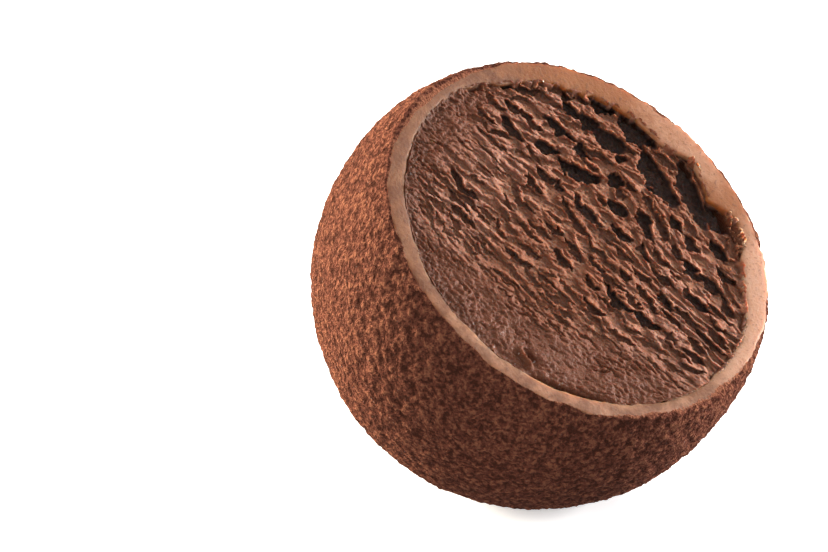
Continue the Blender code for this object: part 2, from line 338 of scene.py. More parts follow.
def rimPlace(angle, radius, height):  # a point of a ring, a little uneven
    inward = smooth(outerEdge - 0.3, innerEdge, radius)
    raggedness = 1 + dough["raggedFar"] * smooth(0.1, 0.8, math.sin(angle))
    wavy = 0
    for depth, length, ragged in dough["rimWaves"]:
        wavy += depth * (raggedness if ragged else 1) * alongRim(angle, length)
    wide = radius - (wavy + rimShift(angle, height)) * inward
    tall = height + dough["rimRise"] * alongRim(angle, 2.2, 5) * (height > shoulder)
    return wide * math.cos(angle), wide * math.sin(angle), tall


def rimDusting(angle, radius):  # 1 where cocoa covers the rim, 0 where the dough is bare
    dusted = dough["dustedEdge"] * (0.65 - 0.35 * math.cos(angle))
    dusted += dough["dustedRagged"] * alongRim(angle, 1.1)
    dusted += dough["dustedFar"] * smooth(-0.2, 0.5, math.sin(angle + 0.5))
    dusted += dough["dustedLeft"] * smooth(0.85, 1.0, math.cos(angle - 3.0))
    thin = smooth(0.75, 1.0, math.cos(angle + 0.35))
    dusted += dough["thinReach"] * thin
    bareFrom = outerEdge - dusted
    return smooth(bareFrom, bareFrom + dough["dustedFade"] + dough["thinFade"] * thin, radius)


# paler towards the right, the far side and the near side; at the right it is painted light, where
# the back-right lamp catches the rim
def rimPaleAndLit(angle):
    parts = dough["paleAndLitParts"]
    return max(share * smooth(start, 1.0, math.cos(angle - at)) for at, start, share in parts)


def cocoaGrain(point):  # small rounded grains with pits between them, about 0 to 1
    aside = point / 1.1
    bend = Vector((noise.noise(aside), noise.noise(aside + Vector((7, 3, 1))), 0))
    nearest = noise.voronoi((point + bend * 0.35) / dough["grainSize"])[0][0]
    return min(1.0, nearest)


def dustSkin(verts, cocoa, pit):  # raises the lumps, clumps and grains of the cocoa
    for vert in verts:
        if vert.co.length < ball["radius"] - 0.3 or vert[cocoa] < 0.01:
            continue
        point = vert.co.copy()
        lumps = dough["lumpDepth"] * noise.noise(point / dough["lumpSize"])
        clumps = dough["clumpDepth"] * noise.noise(point / dough["clumpSize"])
        # the grain value is kept so that shade can be painted into the pits
        vert[pit] = grain = cocoaGrain(point)
        grains = dough["grainDepth"] * (0.45 - grain)
        fine = dough["fineDepth"] * noise.noise(point / dough["fineSize"])
        vert.co += point.normalized() * (lumps + clumps + (grains + fine) * vert[cocoa])


def spreadEdge(verts):  # the cut pushed the outer skin out a little, towards its edge
    for vert in verts:
        height = vert.co.z
        distance = math.hypot(vert.co.x, vert.co.y)
        if height < 0 or distance < 1:
            continue
        inner = math.sqrt(cavityRadius**2 - height**2)
        outer = math.sqrt(ball["radius"] ** 2 - height**2)
        angle = math.atan2(vert.co.y, vert.co.x)
        flare = 0
        for at, start, reach in dough["flares"]:
            flare += reach * smooth(start, 1.0, math.cos(angle - at))
        flare *= smooth(inner, outer, distance)
        flare *= smooth(0, ball["cutHeight"], height)
        vert.co.x *= 1 + flare / distance
        vert.co.y *= 1 + flare / distance


def makeDough(material):
    bm = bmesh.new()
    bmesh.ops.create_cube(bm, size=2)
    bmesh.ops.subdivide_edges(bm, edges=bm.edges, cuts=dough["cuts"], use_grid_fill=True)
    for vert in bm.verts:
        spread = Vector([math.tan(part * math.pi / 4) for part in vert.co])
        vert.co = spread.normalized() * ball["radius"]
    bmesh.ops.bisect_plane(
        bm,
        geom=bm.verts[:] + bm.edges[:] + bm.faces[:],
        plane_co=(0, 0, shoulder),
        plane_no=(0, 0, 1),
        clear_outer=True,
    )
    print("ball skin", len(bm.faces), "faces")

    layers = [bm.verts.layers.float.new(name) for name in ("cocoa", "pit", "pale", "tan")]
    cocoa, pit, pale, tan = layers
    for vert in bm.verts:
        vert[cocoa] = 1.0
    border = openLoops(bm)
    rings = rimRings()
    for radius, height in rings:
        made = bmesh.ops.extrude_edge_only(bm, edges=border)["geom"]
        for vert in [item for item in made if isinstance(item, bmesh.types.BMVert)]:
            angle = math.atan2(vert.co.y, vert.co.x)
            vert.co = rimPlace(angle, radius, height)
            vert[cocoa] = rimDusting(angle, radius)
            vert[pale] = rimPaleAndLit(angle)
            vert[tan] = smooth(0.2, 0.9, math.sin(angle))
        edges = [item for item in made if isinstance(item, bmesh.types.BMEdge)]
        border = [edge for edge in edges if edge.is_boundary]

    lowest = rings[-1][1]
    spinBowl(bm, cavityRadius, lowest - 0.3, dough["innerSteps"], dough["innerFacets"])
    bmesh.ops.bridge_loops(bm, edges=openLoops(bm))
    inner = [vert for vert in bm.verts if vert.co.length < ball["radius"] - 0.6]
    flattenBase([vert for vert in inner if vert.co.z < lowest], baseDepth - ball["doughThickness"])
    dustSkin(bm.verts, cocoa, pit)
    spreadEdge(bm.verts)
    flattenBase([vert for vert in bm.verts if vert.co.length > ball["radius"] - 1], baseDepth)
    addPiece("cocoaDustedBall", bm, material, "mochi_dough")


# ice cream: torn into rows of overlapping scales across the cut

iceCream = {
    "colours": {
        "deep": (0.105, 0.039, 0.022, 1),
        "body": (0.190, 0.073, 0.040, 1),
        "light": (0.240, 0.098, 0.057, 1),
        "smeared": (0.116, 0.043, 0.023, 1),
        "pale": (0.330, 0.165, 0.115, 1),
        # hollow and inside: lighter, greyer colours in the tears, painted fill light; depth:
        # painted shade in the deepest tears
        "hollow": (0.270, 0.122, 0.073, 1),
        "inside": (0.205, 0.100, 0.066, 1),
        "depth": (0.112, 0.071, 0.057, 1),
        "lip": (0.330, 0.120, 0.056, 1),
        "shade": (0.040, 0.016, 0.010, 1),
        "glints": (0.520, 0.400, 0.340, 1),
    },
    "coarsePattern": (1.3, 4.0, 0.6),  # size, detail and roughness
    "finePattern": (0.26, 2.0, 0.6),
    "glintPattern": (0.4, 1.0, 0.5),
    "grainRelief": 0.20,
    "glowDepth": 0.6,  # how far light spreads in it
    "paleRight": 0.7,  # how pale it is at the right and at the left
    "paleLeft": 0.65,
    "leftShade": 0.42,  # how dim its border is at the left
    "shadeWidth": 2.1,
    "slitShade": 0.95,
    "glintShare": 0.7,
    "glintWidth": 5.0,
    "cells": 308,
    "gap": 0.3,
    "nearRecess": 0.15,  # how far the filling lies below the cut
    "farRecess": 0.6,
    "nearDrop": 0.07,  # and how far below it meets the dough
    "farDrop": 0.03,
    "borderRagged": 0.32,
    "crumbHeight": 0.3,
    "crustHeight": 0.26,  # more of them, and higher, where the crust is thick
    "crustAngle": 42.0,
    "crustSpread": 15.0,
    "overlap": 0.28,  # how far its border is pressed into the dough
    "overRim": 0.25,  # and how far bits of it lie over the rim at the far side
    "crumbRise": 0.09,  # above the rim
    "slitAngle": -63.0,
    "slitSpread": 16.0,
    "slitWidth": 0.9,
    "slitDepth": 1.6,
    "seed": 5,
    "firstRow": -0.84,  # the near and the far end of the rows, as shares of the face's radius
    "lastRow": 0.97,
    "nearRowGap": 0.8,
    "farRowGap": 1.35,
    "tearLengths": (2.0, 4.8),
    "tearWidths": (0.48, 0.78),
    "nearWidening": 0.2,  # of the rows' tears at the near side
    "middleLength": 0.15,  # how much longer and deeper the tears are across the middle
    "middleDepth": 0.35,
    "rowBend": 0.35,
    "lipHeight": 0.27,
    "creaseSize": 1.25,
    "creaseDepth": 0.62,
    "raggedSize": 1.2,  # the length over which the tears' outlines wander
    "raggedShift": 0.42,  # and how far they do, at large and in detail
    "frayedX": 0.22,
    "frayedY": 0.30,
    "undercut": 0.9,  # how far the tears reach under their lips, as a share of their depth
    "smallTears": 1700,
    "smallLips": 0.4,
    "floorLumps": 0.5,  # in the deepest tears
    "wrinkleHeight": 0.10,
    "beadHeight": 0.34,  # of the rounded grains between the tears
    "swellHeight": 0.22,  # of the broad, soft swell of the face
    "tearDepth": 1.2,  # of a large tear, as a share of its width
    "deepest": 2.5,
    "farWidening": 0.18,  # how much wider the large tears are at the far side
    "leftNarrowing": 0.15,
    "smearEdge": -0.80,  # where the smooth smear ends, as a share of the face's radius
    "patchX": 6.0,  # the smooth patch's middle, and its reach along and across
    "patchY": -14.0,
    "patchLength": 4.5,
    "patchWidth": 1.8,
    "flapX": 3.2,
    "flapY": -16.7,
    "flapTurn": -42.0,
    "flapLength": 1.3,
    "flapHeight": 0.55,
    "flapPits": 0.6,
    "bowlFacets": 48,
    "bowlSteps": 10,
}
fillingRadius = cavityRadius - iceCream["gap"]
faceRadius = math.sqrt(fillingRadius**2 - ball["cutHeight"] ** 2)

# the largest tears as they look from the front: place along and across, length, width, turn and bow
largeTears = (
    (-2.0, 15.4, 5.4, 2.3, -6, 0.2),
    (-6.3, 15.3, 3.6, 1.9, 10, 0.1),
    (-8.2, 14.4, 1.8, 0.8, 0, 0.1),
    (-9.6, 13.2, 1.8, 1.1, 0, 0.1),
    (-8.2, 12.2, 2.8, 1.4, -5, 0.1),
    (-6.1, 12.3, 2.3, 1.7, 0, 0.2),
    (-3.3, 12.2, 4.4, 2.0, 12, 0.2),
    (-1.4, 11.5, 1.8, 1.1, 10, 0.1),
    (-1.5, 13.1, 2.1, 0.9, 10, 0.0),
    (2.4, 12.1, 7.8, 2.5, -25, 0.5),
    (5.9, 13.7, 9.0, 2.0, -40, 0.4),
    (9.4, 13.2, 4.2, 2.5, -22, 0.4),
    (11.8, 13.0, 1.7, 0.5, -22, 0.0),
    (11.5, 10.1, 3.0, 1.3, -12, 0.2),
    (13.7, 8.1, 2.6, 1.0, -5, 0.1),
    (9.1, 8.5, 2.6, 1.0, -20, 0.1),
    (6.7, 9.3, 2.4, 1.1, -30, 0.1),
    (6.0, 7.7, 3.6, 0.9, -36, 0.0),
    (4.4, 6.4, 4.0, 1.3, -38, 0.2),
    (3.2, 9.4, 2.6, 0.7, -20, 0.0),
    (1.0, 9.4, 1.3, 0.9, -30, 0.0),
    (-0.5, 8.5, 1.8, 1.8, 0, 0.2),
    (0.7, 7.7, 1.7, 0.8, -10, 0.0),
    (-3.7, 6.2, 5.8, 2.0, 19, 0.1),
    (-7.7, 5.9, 3.0, 1.5, 15, 0.2),
    (1.5, 5.9, 2.8, 1.5, 5, 0.2),
    (-0.2, 5.4, 1.3, 0.9, 0, 0.0),
    (-5.0, 8.9, 2.4, 1.2, -32, 0.0),
    (-3.5, 8.2, 2.5, 0.6, 5, -0.1),
    (-8.0, 9.0, 4.4, 1.3, 3, 0.3),
    (-12.8, 10.3, 3.8, 0.9, 36, 0.0),
    (-15.0, 9.0, 1.9, 1.6, 10, 0.1),
    (-17.0, 7.8, 1.5, 1.0, 50, 0.0),
    (-12.6, 7.3, 2.7, 1.0, 0, 0.1),
    (-11.2, 7.6, 1.5, 1.1, -5, 0.1),
    (-9.9, 7.3, 2.3, 0.8, 0, 0.1),
    (-14.6, 6.3, 3.2, 0.8, -5, 0.1),
    (-16.9, 5.7, 2.3, 0.9, 45, 0.0),
    (-11.4, 4.9, 3.8, 1.4, -14, 0.1),
    (-8.2, 4.2, 2.8, 0.7, -20, 0.0),
    (-14.3, 4.1, 3.1, 0.9, -4, -0.1),
    (-6.0, 3.1, 3.1, 1.1, 5, -0.1),
    (-4.4, 3.2, 1.4, 1.2, -30, 0.0),
    (-12.3, 2.1, 4.5, 0.7, 0, 0.2),
    (-9.6, 2.2, 2.2, 0.4, 3, 0.0),
    (-6.6, 1.2, 2.7, 1.0, -18, 0.0),
    (-12.0, 0.5, 3.3, 0.6, -8, 0.1),
    (-9.6, -0.3, 2.1, 0.6, -15, 0.0),
    (-14.0, -0.6, 2.2, 0.4, -5, 0.0),
    (-7.5, -0.9, 2.7, 0.7, -36, 0.0),
    (-5.9, -1.7, 2.3, 0.8, -8, 0.0),
    (-11.0, -1.4, 2.3, 0.6, -8, 0.1),
    (-0.8, 3.0, 4.8, 1.2, -14, -0.1),
    (3.0, 3.5, 3.3, 1.2, 0, 0.1),
    (5.9, 3.6, 2.9, 1.1, -32, 0.0),
    (-1.4, 1.1, 5.8, 0.9, -24, 0.0),
    (4.6, 1.5, 3.2, 0.8, 0, 0.1),
    (2.8, -0.4, 4.8, 0.7, -12, 0.1),
    (5.7, -0.5, 1.5, 1.0, 0, 0.0),
    (8.9, -1.0, 4.0, 0.9, -18, 0.2),
    (-3.1, -0.6, 2.7, 0.5, 5, 0.1),
    (0.4, -2.3, 3.3, 0.9, -18, 0.1),
    (3.0, -1.8, 2.9, 0.8, -18, 0.0),
    (-3.2, -3.0, 3.5, 0.7, 4, 0.0),
    (6.6, -3.5, 4.4, 1.3, -10, -0.1),
    (10.0, -3.4, 3.7, 1.3, 8, 0.0),
    (3.9, -4.2, 2.2, 0.9, -5, 0.2),
    (0.2, -4.2, 2.7, 1.0, -18, 0.1),
    (8.6, 6.5, 1.9, 1.0, -20, 0.1),
    (10.6, 5.9, 3.3, 1.3, -15, 0.1),
    (13.0, 5.9, 3.7, 1.2, -5, 0.2),
    (15.4, 5.1, 2.8, 1.1, -25, 0.0),
    (7.6, 4.5, 2.6, 0.8, -10, 0.0),
    (9.7, 4.1, 1.8, 0.6, 15, 0.0),
    (8.8, 2.5, 3.7, 0.9, -2, 0.1),
    (11.6, 3.0, 1.9, 0.9, -30, 0.0),
    (13.3, 2.8, 3.4, 1.3, 0, 0.2),
    (15.9, 2.3, 2.8, 0.8, -3, 0.0),
    (10.4, 0.4, 3.1, 1.2, -22, 0.1),
    (13.2, 0.5, 3.7, 0.9, 0, 0.1),
    (15.2, -1.6, 2.9, 0.9, -6, 0.1),
    (12.8, -2.9, 1.9, 0.7, 0, 0.1),
    (5.3, -6.4, 3.3, 0.9, 0, 0.0),
    (9.2, -7.1, 3.7, 0.6, 8, 0.0),
    (9.3, -5.4, 2.3, 0.6, 5, 0.1),
    (-10.8, -3.2, 2.1, 0.6, 14, 0.0),
    (-7.3, -3.0, 2.5, 0.7, -25, 0.0),
    (-11.6, -5.0, 4.5, 1.2, -17, 0.0),
    (-6.6, -4.4, 2.5, 0.6, -12, 0.0),
    (-8.2, -5.8, 2.5, 0.6, 0, 0.0),
    (-6.4, -6.2, 2.7, 0.6, -35, 0.0),
    (-2.6, -6.0, 3.7, 0.7, 6, 0.0),
    (-9.7, -8.1, 3.6, 1.0, -3, 0.1),
    (-3.3, -7.8, 3.7, 0.9, 5, 0.1),
    (-3.0, -10.8, 3.9, 0.5, 3, 0.3),
)


def makeIceCreamFinish():
    look = iceCream["colours"]
    finish = Finish("chocolateIceCream")
    coarse = finish.noise(*iceCream["coarsePattern"])
    grain = finish.noise(*iceCream["finePattern"])
    hollow = finish.attribute("hollow")
    lip = finish.attribute("lip")
    torn = finish.attribute("torn")
    tone = coarse * 0.6 + grain * 0.5
    colour = finish.mix(finish.between(tone, 0.2, 0.5), look["deep"], look["body"])
    colour = finish.mix(finish.between(tone, 0.56, 0.8) * 0.6, colour, look["light"])
    colour = finish.mix((1 - torn) * 0.9, colour, look["smeared"])
    paler = finish.attribute("paler") * finish.between(coarse, 0.3, 0.6)
    colour = finish.mix(paler, colour, look["pale"])
    # inside the tears the colour is painted lighter and greyer, a painted fill light, and darker in
    # the deepest ones, a painted shade
    colour = finish.mix(finish.between(hollow, 0.1, 0.3), colour, look["hollow"])
    colour = finish.mix(finish.between(hollow, 0.3, 0.55), colour, look["inside"])
    deepShade = finish.between(hollow + (grain - 0.5) * 0.4, 0.55, 0.85)
    colour = finish.mix(deepShade, colour, look["depth"])
    colour = finish.mix(finish.attribute("shade"), colour, look["shade"])
    # small pale specks towards the near left: painted glints
    glintSpots = finish.between(finish.noise(*iceCream["glintPattern"]), 0.66, 0.80) * 0.8
    colour = finish.mix(glintSpots * finish.attribute("glints"), colour, look["glints"])
    # the lips and the curled flap are painted lighter, a painted highlight; the crust's crumbs take
    # the same colour as a reddish crust tone
    colour = finish.mix(finish.between(lip, 0.2, 0.9) * 0.4, colour, look["lip"])
    shader = finish.shader({
        "Base Color": colour,
        "Roughness": finish.between(grain, 0.3, 0.7, 0.55, 0.38) + torn * 0.25 + hollow * 0.3,
        "Specular IOR Level": 0.05,
        "Subsurface Weight": 0.5,
        "Subsurface Radius": (1.0, 0.35, 0.18),
        "Subsurface Scale": iceCream["glowDepth"] * mm,
        "Normal": finish.bump(grain * 0.8 + coarse * 0.3, iceCream["grainRelief"], 1.0),
    })
    return finish.done(shader)


def tornShare(x, y):  # 0 where the filling is smeared smooth and 1 where it is torn
    along, across = x / faceRadius, y / faceRadius
    smear = iceCream["smearEdge"] + 0.3 * smooth(0.1, 0.75, along)
    return smooth(smear, smear + 0.35, across) * smooth(-0.9, -0.6, along)


def rowHeight(x, start):
    bend = (iceCream["rowBend"] * start / faceRadius + 0.06) / faceRadius
    return start - bend * x * x


def covers(tear, x, y, length, width):
    span = tear[2] / 2 + 0.25 * length
    reach = tear[3] / 2 + 0.8 * width
    return math.hypot((x - tear[0]) / span, (y - tear[1]) / reach) < 1


def placedTears():
    settings = iceCream
    tears = []
    for x, y, length, width, turn, bow in largeTears:
        atFar, atLeft = smooth(5, 9, y), smooth(-5, -9, x)
        width *= 1 + settings["farWidening"] * atFar - settings["leftNarrowing"] * atLeft
        depth = min(settings["deepest"], settings["tearDepth"] * width + 0.15)
        tears.append((x, y, length, width, turn, bow, depth))
    return tears


def rowTears():  # rows of smaller ones, wherever the largest leave room
    settings = iceCream
    draw = random.Random(settings["seed"])
    tears = []
    start = settings["firstRow"] * faceRadius
    while start < settings["lastRow"] * faceRadius:
        atFar = smooth(-0.8, 0.6, start / faceRadius)
        gap = settings["nearRowGap"] + (settings["farRowGap"] - settings["nearRowGap"]) * atFar
        left = -0.95 * faceRadius + draw.uniform(0, 2.5)
        while left < 0.95 * faceRadius:
            length = draw.uniform(*settings["tearLengths"])
            length *= 0.75 + 0.25 * gap / settings["farRowGap"]
            x = left + length / 2
            y = rowHeight(x, start) + draw.uniform(-0.28, 0.28) * gap
            left += length * draw.uniform(0.78, 1.1)
            torn = tornShare(x, y)
            slope = math.atan(rowHeight(x + 0.5, start) - rowHeight(x - 0.5, start))
            turn = math.degrees(slope) + draw.uniform(-16, 14)
            width = gap * draw.uniform(*settings["tearWidths"]) * (0.4 + 0.6 * torn)
            width *= 1 + settings["nearWidening"] * smooth(0, -5, y)
            middle = math.exp(-((y / 7) ** 2))
            depth = width * draw.uniform(0.95, 1.25) * (1 + settings["middleDepth"] * middle)
            length *= 1 + settings["middleLength"] * middle
            bow = gap * draw.uniform(0, 0.3)
            kept = draw.random() < 0.35 + 0.65 * torn and math.hypot(x, y) < 0.95 * faceRadius
            if kept and not any(covers(tear, x, y, length, width) for tear in largeTears):
                tears.append((x, y, length, width, turn, bow, depth))
        start += gap
    return tears


def scratches():  # small tears that cover the whole face, finer than the rows
    draw = random.Random(iceCream["seed"] + 6)
    made = []
    while len(made) < iceCream["smallTears"]:
        distance, angle = faceRadius * math.sqrt(draw.random()), draw.uniform(0, 2 * math.pi)
        x, y = distance * math.cos(angle), distance * math.sin(angle)
        torn = tornShare(x, y)
        slope = math.degrees(math.atan(-0.6 * x * y / faceRadius**2))
        atLeft = smooth(-0.72, -0.86, x / faceRadius)
        turn = slope + draw.gauss(0, 14) + 75 * atLeft
        length = draw.uniform(0.7, 1.5 + 0.9 * torn) * (1 + 0.6 * atLeft)
        width = draw.uniform(0.2, 0.30 + 0.10 * torn)
        depth = width * draw.uniform(0.3, 0.55 + 0.2 * torn) * (1 + 0.2 * atLeft)
        if draw.random() < 0.7 + 0.3 * torn:
            made.append((x, y, length, width, turn, draw.uniform(0, 0.12), depth))
    return made


# depth inside the tears, and height of the lips beyond them
def carve(x, y, shiftedX, shiftedY, nearEdge, tears, crest):
    deepest = np.zeros_like(x)
    lips = np.zeros_like(x)
    for atX, atY, length, width, turn, bow, depth in tears:
        cos, sin = math.cos(math.radians(turn)), math.sin(math.radians(turn))
        reach = length * 0.6 + width + 1.0
        band = np.flatnonzero(np.abs(y - atY) < reach)
        near = band[np.abs(x[band] - atX) < reach]
        dx, dy = shiftedX[near] - atX, shiftedY[near] - atY
        along = (dx * cos + dy * sin) / (length / 2)
        room = np.clip(1 - along * along, 0, 1)
        beyond = dy * cos - dx * sin - width / 2 - bow * (2 * room - 1)
        taper = room**0.95
        into = -beyond / (width * np.maximum(taper, 0.05)) + nearEdge[near]
        floor = 1 - 0.12 * np.clip(into, 0, 1)
        hollow = floor * smooth(0, 0.12, into - nearEdge[near])
        hollow = hollow * (1 - smooth(0.88, 1.06, into)) * np.minimum(1, 2 * taper)
        deepest[near] = np.maximum(deepest[near], np.where(room > 0, depth * hollow, 0))
        sharp = np.exp(-((np.maximum(beyond, 0) / 0.16) ** 2))
        broad = np.exp(-np.maximum(beyond, 0) / (0.2 + 0.5 * min(1.6, depth)))
        lip = crest * min(1, depth / 1.2) * (0.5 * sharp + 0.5 * broad)
        lips[near] = np.maximum(lips[near], lip * smooth(-0.1, 0.04, beyond) * taper)
    lips *= 1 - smooth(0, 0.15, deepest)
    return deepest, lips


def creases(x, y):  # 0 on thin ridges, more in the linked lens-shaped hollows between them
    fan = 4.5 * smooth(0, 11, x) * smooth(-2, 6, y) + 0.2 * np.maximum(0, -2 - x)
    bentX = x + 0.7 * uneven(x, y, 1.6, 1.6, 101.0)
    bentY = y + fan + 0.4 * uneven(x, y, 1.6, 1.2, 103.0) + 0.14 * uneven(x, y, 0.45, 0.45, 105.0)
    size = iceCream["creaseSize"]
    return np.abs(uneven(bentX, bentY, 2.6 * size, size, 107.0))


# height of the relief, depth inside the tears and share of a lip, for each point
def tornFace(x, y):
    settings = iceCream
    size, shift = settings["raggedSize"], settings["raggedShift"]
    frayedX = settings["frayedX"] * uneven(x, y, 0.42, 0.42, 13.7)
    frayedY = settings["frayedY"] * uneven(x, y, 0.5, 0.45, 19.1)
    shiftedX = x + shift * uneven(x, y, size, size, 3.7) + frayedX
    shiftedY = y + shift * uneven(x, y, size, size, 9.1) + frayedY
    nearEdge = 0.3 * uneven(x, y, 0.8, 0.8, 111.0) + 0.12 * uneven(x, y, 0.4, 0.4, 113.0)
    tears = placedTears() + rowTears()
    deepest, lips = carve(x, y, shiftedX, shiftedY, nearEdge, tears, settings["lipHeight"])
    torn = tornShare(x, y)
    room = torn * (0.6 + 0.4 * smooth(-0.6, 0.5, y / faceRadius)) * (1 - smooth(0.02, 0.2, lips))
    creased = settings["creaseDepth"] * room * smooth(0.11, 0.30, creases(x, y))
    deepest = np.maximum(deepest, creased)
    smallX = x + 0.10 * uneven(x, y, 0.3, 0.3, 23.7)
    smallY = y + 0.14 * uneven(x, y, 0.45, 0.4, 29.1)
    crest = settings["smallLips"]
    smallDeep, smallLips = carve(x, y, smallX, smallY, nearEdge, scratches(), crest)
    openFloor = 1 - 0.4 * smooth(0.2, 0.7, deepest)
    lumps = uneven(x, y, 0.8, 0.6, 115.0) + 0.6 * uneven(x, y, 0.35, 0.35, 117.0)
    lumpyFloor = settings["floorLumps"] * smooth(0.8, 1.8, deepest) * lumps
    relief = lips - deepest + (smallLips - smallDeep) * openFloor + lumpyFloor
    lipShare = np.clip(lips / settings["lipHeight"] + smallLips / 0.35, 0, 1)
    return relief, deepest + 0.7 * smallDeep, lipShare


def smearPatch(x, y):  # where the cut left the filling quite smooth, at the near right
    along = (x - iceCream["patchX"]) / iceCream["patchLength"]
    across = (y - iceCream["patchY"]) / iceCream["patchWidth"]
    return smooth(1.2, 0.6, np.hypot(along, across) + 0.5 * uneven(x, y, 2.0, 1.5, 95.0))


def fineRelief(x, y):  # wrinkles on what is left between the tears, rounder where it is smeared
    torn = tornShare(x, y)
    bentX = x + 0.5 * uneven(x, y, 1.1, 1.1, 33.0)
    bentY = y + 0.4 * uneven(x, y, 1.1, 1.1, 37.0)
    wrinkles = 0.5 - 2 * np.abs(uneven(bentX, bentY, 1.1, 0.5, 41.0))
    grains = uneven(bentX, bentY, 0.66, 0.30, 45.0)
    small = uneven(x, y, 0.26, 0.24, 51.0)
    broad = uneven(x, y, 3.2, 2.2, 71.0)
    spots = zip(bentX / 0.5, bentY / 0.4)
    rounded = np.array([0.4 - noise.voronoi(Vector((a, b, 61.0)))[0][0] for a, b in spots])
    atLeft = smooth(-0.7, -0.88, x / faceRadius)
    beads = (iceCream["beadHeight"] - 0.16 * torn + 0.03 * atLeft) * rounded
    beads = beads * (1 - 0.7 * smearPatch(x, y))
    fine = iceCream["wrinkleHeight"] * torn * wrinkles + (0.04 + 0.08 * torn) * grains
    return fine + (0.05 + 0.05 * torn) * small + beads + iceCream["swellHeight"] * broad


def overRim(x, y):  # 1 where bits of the filling lie over the rim at the far side
    return smooth(0.1, 0.8, y / faceRadius) * smooth(0.0, 0.3, uneven(x, y, 0.55, 0.55, 89.0))


def edgeDrop(x, y):  # how far below the cut the filling meets the dough
    settings = iceCream
    far = smooth(0.0, 0.7, y / faceRadius)
    ragged = uneven(x, y, 1.4, 1.4, 81.0) + 0.7 * uneven(x, y, 0.6, 0.6, 82.0)
    drop = settings["nearDrop"] + (settings["farDrop"] - settings["nearDrop"]) * far
    drop += far * (settings["borderRagged"] * ragged)
    return np.maximum(drop - 0.08 * overRim(x, y), -settings["crumbRise"])


def slitShare(x, y):  # 1 in the middle of the slit that shows beside the dough
    away = np.abs(np.degrees(np.arctan2(y, x)) - iceCream["slitAngle"])
    return smooth(iceCream["slitSpread"], iceCream["slitSpread"] * 0.4, away)


def curledFlap(x, y):  # a thin flap that stands up near the slit, and pits beside it
    settings = iceCream
    turn = math.radians(settings["flapTurn"])
    cos, sin = math.cos(turn), math.sin(turn)
    dx, dy = x - settings["flapX"], y - settings["flapY"]
    along = (dx * cos + dy * sin) / settings["flapLength"]
    across = dy * cos - dx * sin - 0.25 * np.sin(along * 2.5)
    room = np.clip(1 - along * along, 0, 1)
    flap = settings["flapHeight"] * np.exp(-((across / 0.24) ** 2)) * np.sqrt(room)
    pit = np.exp(-(((across - 0.6) / 0.36) ** 2)) + 0.5 * np.exp(-(((across + 0.65) / 0.4) ** 2))
    return flap, settings["flapPits"] * pit * room


def edgeReach(x, y, drop):  # how far out the filling goes there
    settings = iceCream
    wavy = 0.14 * smooth(0.0, 0.45, uneven(x, y, 2.6, 2.6, 85.0))
    wavy += 0.1 * smooth(0.0, 0.4, uneven(x, y, 0.7, 0.7, 87.0))
    reach = cavityRadius + settings["overlap"] - wavy + settings["overRim"] * overRim(x, y)
    height = ball["cutHeight"] - drop
    return np.sqrt(reach**2 - height**2) - rimShift(np.arctan2(y, x), height)


# the square grid drawn out to the dough's edge: its points, their drop and way to the dough
def roundFace(square):
    x = faceRadius * square[:, 0] * np.sqrt(1 - square[:, 1] ** 2 / 2)
    y = faceRadius * square[:, 1] * np.sqrt(1 - square[:, 0] ** 2 / 2)
    share = np.hypot(x, y) / faceRadius
    outX, outY = x / np.maximum(share, 0.01), y / np.maximum(share, 0.01)
    drop = edgeDrop(outX, outY)
    reach = edgeReach(outX, outY, drop)
    stretch = 1 + (reach / faceRadius - 1) * smooth(0.8, 1, share)
    return x * stretch, y * stretch, drop, (1 - share) * reach


def crustShare(x, y):  # 1 where the crust along the border is thick
    away = (np.degrees(np.arctan2(y, x)) - iceCream["crustAngle"]) / iceCream["crustSpread"]
    return np.exp(-(away**2))


def edgeShare(x, y, far, crust, toDough):  # 1 where the filling meets the dough
    width = 0.28 + 0.15 * crust + (0.3 + 0.3 * crust) * far * uneven(x, y, 0.9, 0.9, 83.0)
    return 1 - smooth(0, width, toDough)


def crumbShare(x, y, crust, edge, toDough, deepest):  # 1 on the crumbs near the dough
    lumps = uneven(x, y, 0.9, 0.8, 91.0) + 0.6 * uneven(x, y, 0.35, 0.35, 93.0)
    crumbs = smooth(0.0, 0.35, lumps) * smooth(1.6 + 1.4 * crust, 0.5, toDough)
    return crumbs * ((1 - 0.6 * edge) * (1 - smooth(0.1, 0.4, deepest)))


def tones(x, y, torn, slit, toDough):  # where the filling is paler, in painted shade or has painted glints
    settings = iceCream
    angle = np.arctan2(y, x)
    atRight = settings["paleRight"] * smooth(2, 13, x) * smooth(15, 5, y)
    paler = torn * np.maximum(atRight, settings["paleLeft"] * smooth(-3, -10, x))
    besideLeft = smooth(0.25, 0.85, -np.cos(angle - 0.6))
    besideLeft = besideLeft * smooth(settings["shadeWidth"], 0.2, toDough)
    inSlit = settings["slitShade"] * smooth(0.2, 0.8, slit)
    glints = settings["glintShare"] * smooth(0.3, 0.9, -np.cos(angle - 1.1))
    glints = glints * smooth(settings["glintWidth"], 0.5, toDough) * (1 - slit)
    return paler, np.maximum(settings["leftShade"] * besideLeft, inSlit), glints


